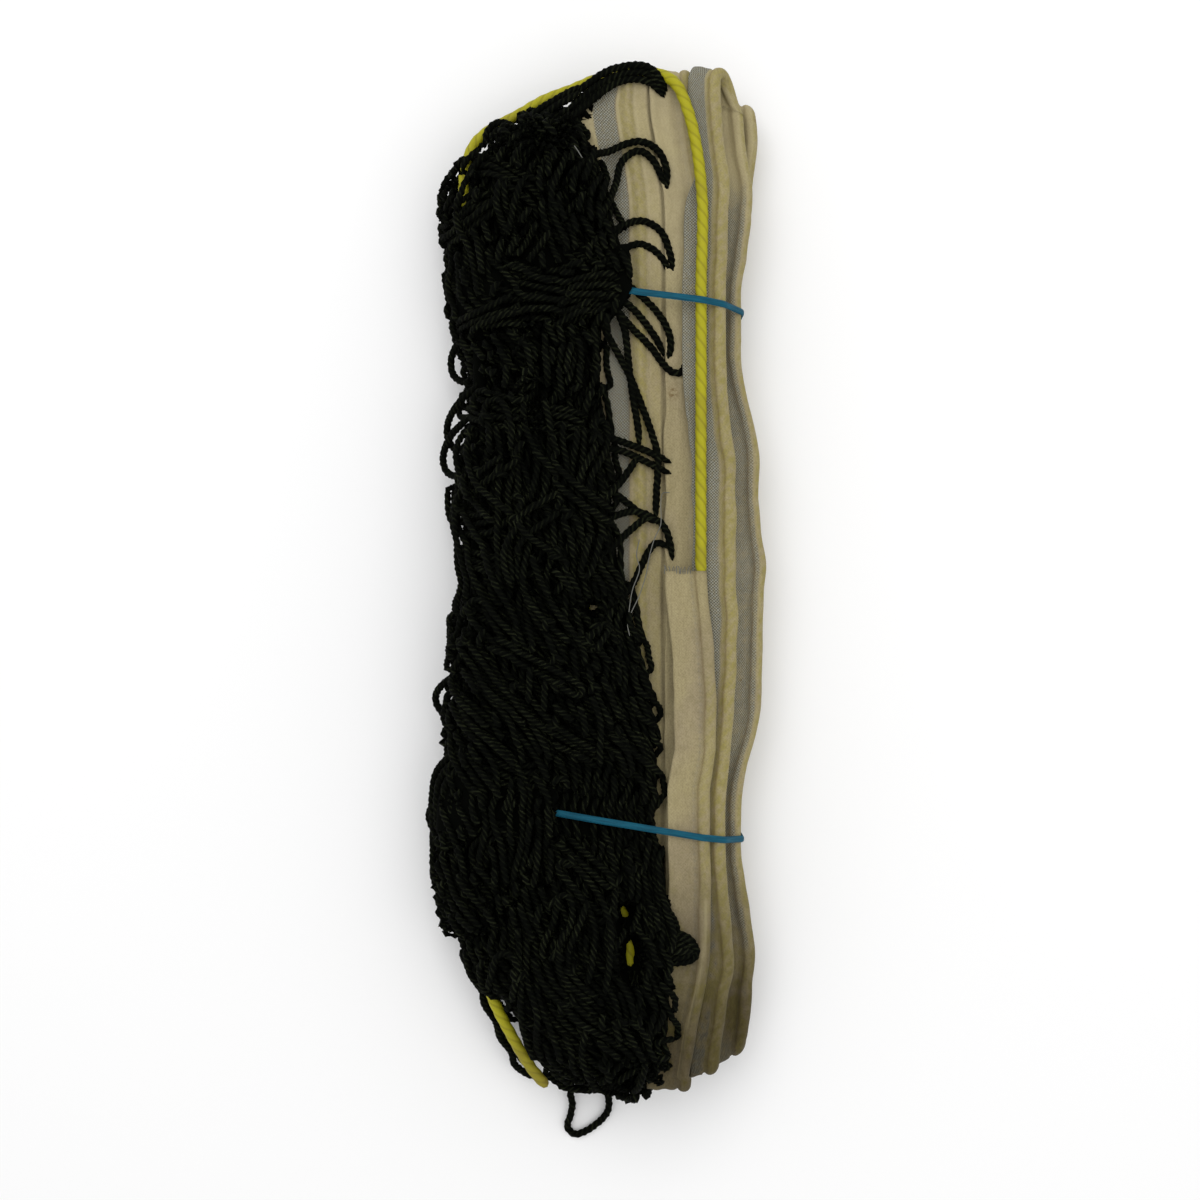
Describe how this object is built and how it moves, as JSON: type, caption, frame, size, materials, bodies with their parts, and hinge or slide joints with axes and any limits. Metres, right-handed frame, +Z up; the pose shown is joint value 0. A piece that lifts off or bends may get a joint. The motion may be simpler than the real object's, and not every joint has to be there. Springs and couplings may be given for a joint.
{
  "type": "folded court net",
  "caption": "Knotted rope net folded into a long bundle, with a canvas head tape folded round its head rope, held by two elastic bands.",
  "frame": {"origin": "on the floor under the middle of the bundle", "axes": "+Y along the laps towards the end where the head rope turns over, +X towards the edge of the canvas tape, +Z up"},
  "size_m": [0.1682, 0.5407, 0.0618],
  "materials": {
    "canvas": "plain woven cotton canvas",
    "rope": "three-strand twisted polypropylene",
    "twine": "three-strand twisted twine",
    "elastic": "flat woven elastic"
  },
  "bodies": {
    "bundle": {"foot_loop": "twine", "foot_rope": "rope", "hank_bottom_1": "twine", "hank_bottom_2": "twine", "hank_bottom_3": "twine", "hank_bottom_4": "twine", "hank_middle_1": "twine", "hank_middle_2": "twine", "hank_middle_3": "twine", "hank_middle_4": "twine", "hank_spill": "twine", "hank_top_1": "twine", "hank_top_2": "twine", "hank_top_3": "twine", "hook_1": "twine", "hook_2": "twine", "hook_3": "twine", "open_meshes": "twine", "rope_core": "rope", "rope_tail": "rope", "side_tape_1": "canvas", "side_tape_2": "canvas", "tape_front": "canvas", "tape_lap_02": "canvas", "tape_lap_03": "canvas", "tape_lap_04": "canvas", "tape_lap_05": "canvas", "tape_lap_06": "canvas", "tape_lap_07": "canvas", "tape_lap_08": "canvas", "tape_lap_09": "canvas", "tape_lap_10": "canvas", "tape_lap_11": "canvas", "tape_lap_12": "canvas", "tape_lap_13": "canvas", "tape_lap_14": "canvas", "top_cord": "twine"},
    "upper_band": {"band_upper": "elastic"},
    "lower_band": {"band_lower": "elastic"}
  },
  "joints": [
    {"name": "upper_band_slide", "type": "slide", "parent": "bundle", "child": "upper_band", "axis": [0, 1, 0], "range_m": [-0.008, 0.008]},
    {"name": "lower_band_slide", "type": "slide", "parent": "bundle", "child": "lower_band", "axis": [0, 1, 0], "range_m": [-0.008, 0.008]}
  ]
}
